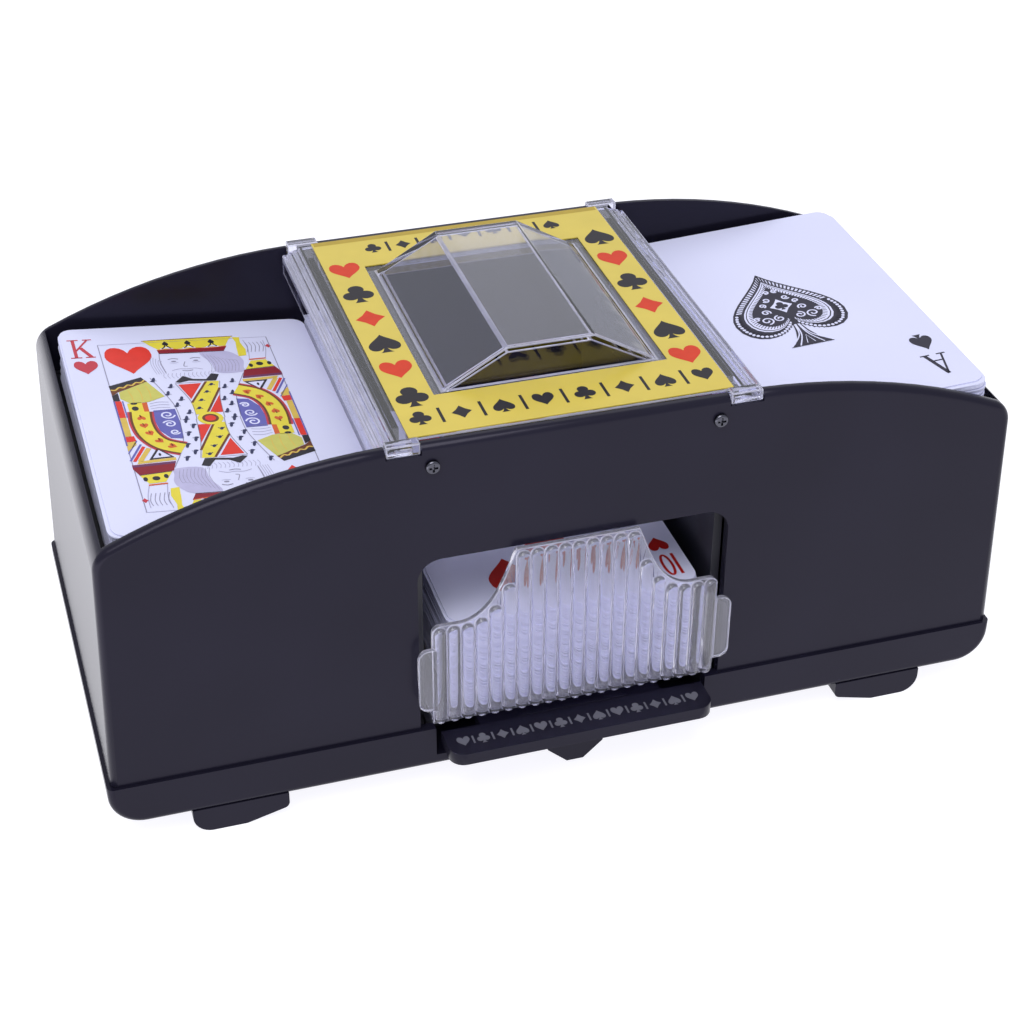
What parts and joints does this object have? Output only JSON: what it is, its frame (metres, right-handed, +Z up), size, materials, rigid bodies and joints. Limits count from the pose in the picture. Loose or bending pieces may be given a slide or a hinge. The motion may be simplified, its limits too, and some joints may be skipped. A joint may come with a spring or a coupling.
{
  "type": "automatic card shuffler",
  "caption": "Battery card shuffler with arched black housing, clear top cover with a raised viewing dome, two sloping card trays, fluted clear drawer and a front press bar.",
  "frame": {"origin": "on the table surface under the middle of the footprint, housing and press bar together", "axes": "+X along the body to the user's right, +Y to the back, away from the press bar, +Z up"},
  "size_m": [0.2138, 0.1098, 0.101],
  "materials": {
    "black_plastic": "satin moulded ABS",
    "inner_plastic": "matt moulded ABS",
    "clear_plastic": "polished clear styrene",
    "printed_label": "semi-gloss printed sheet",
    "cards": "coated card stock",
    "rubber": "matt rubber",
    "white_plastic": "natural acetal",
    "steel": "zinc plated",
    "chrome": "nickel plated",
    "bronze": "sintered bronze",
    "switch_plastic": "moulded",
    "cell_jacket": "printed sleeve",
    "red_lead": "PVC insulation",
    "black_lead": "PVC insulation"
  },
  "bodies": {
    "casing": {"outer_shell": "black_plastic", "base_tray": "black_plastic", "drawer_deck": "inner_plastic", "top_cover": "clear_plastic", "label_sheet": "printed_label", "lever_pin": "steel", "return_spring": "steel", "switch_body": "switch_plastic", "battery_box": "inner_plastic", "battery_contacts": "steel", "aa_cells": "cell_jacket", "cover_screws": "chrome", "base_screws": "steel", "battery_lead": "red_lead", "left_motor_lead": "black_lead", "right_motor_lead": "red_lead", "left_tray": "inner_plastic", "left_gate": "clear_plastic", "left_idler_pin": "steel", "left_shaft_bushes": "bronze", "left_motor_can": "steel", "left_motor_endcap": "white_plastic", "left_motor_screws": "steel", "right_tray": "inner_plastic", "right_gate": "clear_plastic", "right_idler_pin": "steel", "right_shaft_bushes": "bronze", "right_motor_can": "steel", "right_motor_endcap": "white_plastic", "right_motor_screws": "steel"},
    "drawer": {"card_drawer": "clear_plastic"},
    "drawer_cards": {"shuffled_stack": "cards"},
    "press_bar": {"press_bar": "black_plastic"},
    "plunger": {"switch_plunger": "switch_plastic"},
    "battery_door": {"battery_door": "black_plastic"},
    "left_cards": {"left_deck": "cards"},
    "right_cards": {"right_deck": "cards"},
    "left_roller": {"left_roller_shaft": "steel", "left_rollers": "rubber", "left_roller_gear": "white_plastic"},
    "left_idler": {"left_idler_gear": "white_plastic"},
    "left_rotor": {"left_motor_shaft": "steel", "left_motor_pinion": "white_plastic"},
    "right_roller": {"right_roller_shaft": "steel", "right_rollers": "rubber", "right_roller_gear": "white_plastic"},
    "right_idler": {"right_idler_gear": "white_plastic"},
    "right_rotor": {"right_motor_shaft": "steel", "right_motor_pinion": "white_plastic"}
  },
  "joints": [
    {"name": "drawer_slide", "type": "slide", "parent": "casing", "child": "drawer", "axis": [0, -1, 0], "range_m": [0, 0.088]},
    {"name": "stack_lift", "type": "slide", "parent": "drawer", "child": "drawer_cards", "axis": [0, 0, 1], "range_m": [0, 0.018]},
    {"name": "bar_press", "type": "hinge", "parent": "casing", "child": "press_bar", "pos_m": [0, -0.0152, 0.0132], "axis": [1, 0, 0], "range_deg": [0, 2.5], "stiffness_Nm_per_rad": 0.6, "springref_deg": -5.73, "deforming": ["return_spring"]},
    {"name": "switch_press", "type": "slide", "parent": "casing", "child": "plunger", "axis": [0, 0, -1], "range_m": [0, 0.001]},
    {"name": "battery_door_swing", "type": "hinge", "parent": "casing", "child": "battery_door", "pos_m": [0.04535, 0.0048, 0.0069], "axis": [0, 1, 0], "range_deg": [0, 95]},
    {"name": "left_deck_lift", "type": "slide", "parent": "casing", "child": "left_cards", "axis": [0, 0, 1], "range_m": [0, 0.009]},
    {"name": "right_deck_lift", "type": "slide", "parent": "casing", "child": "right_cards", "axis": [0, 0, 1], "range_m": [0, 0.003]},
    {"name": "left_roller_spin", "type": "hinge", "parent": "casing", "child": "left_roller", "pos_m": [-0.05, 0.0048, 0.05332], "axis": [0, 1, 0], "continuous": true},
    {"name": "left_idler_spin", "type": "hinge", "parent": "casing", "child": "left_idler", "pos_m": [-0.05733, 0.0048, 0.04459], "axis": [0, 1, 0], "continuous": true},
    {"name": "left_rotor_spin", "type": "hinge", "parent": "casing", "child": "left_rotor", "pos_m": [-0.07033, 0.0048, 0.0423], "axis": [0, 1, 0], "continuous": true},
    {"name": "right_roller_spin", "type": "hinge", "parent": "casing", "child": "right_roller", "pos_m": [0.05, 0.0048, 0.05332], "axis": [0, -1, 0], "continuous": true},
    {"name": "right_idler_spin", "type": "hinge", "parent": "casing", "child": "right_idler", "pos_m": [0.05733, 0.0048, 0.04459], "axis": [0, -1, 0], "continuous": true},
    {"name": "right_rotor_spin", "type": "hinge", "parent": "casing", "child": "right_rotor", "pos_m": [0.07033, 0.0048, 0.0423], "axis": [0, -1, 0], "continuous": true}
  ],
  "couplings": [
    {"joint": "switch_press", "follows": "bar_press", "m_per_rad": 0.02},
    {"joint": "left_idler_spin", "follows": "left_roller_spin", "ratio": -2.1667},
    {"joint": "left_rotor_spin", "follows": "left_roller_spin", "ratio": 7.3667},
    {"joint": "right_idler_spin", "follows": "right_roller_spin", "ratio": -2.1667},
    {"joint": "right_rotor_spin", "follows": "right_roller_spin", "ratio": 7.3667}
  ]
}
